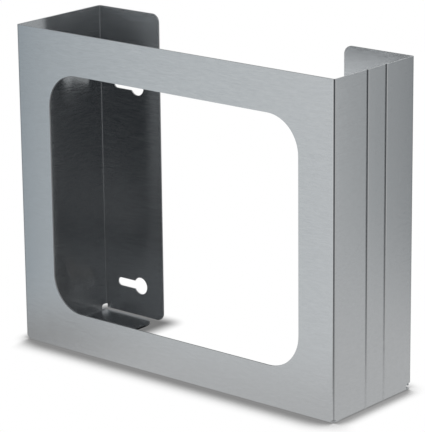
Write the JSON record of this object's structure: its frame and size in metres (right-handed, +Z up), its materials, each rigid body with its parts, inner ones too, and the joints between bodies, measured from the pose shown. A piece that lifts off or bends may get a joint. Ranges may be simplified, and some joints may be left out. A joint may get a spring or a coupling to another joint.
{
  "type": "disposable glove dispenser",
  "caption": "Wall-hung holder folded from one stainless sheet, open at the top, with a large window in front, keyholed back flanges and short floor tabs.",
  "frame": {"origin": "middle of the footprint, on the underside of the floor tabs", "axes": "+X to the right seen from the front, +Y back to the wall, +Z up"},
  "size_m": [0.2794, 0.0856, 0.231],
  "materials": {
    "stainless": "satin, with a fine grain that runs level round the walls"
  },
  "bodies": {
    "root": {"folded_holder": "stainless"}
  },
  "joints": []
}
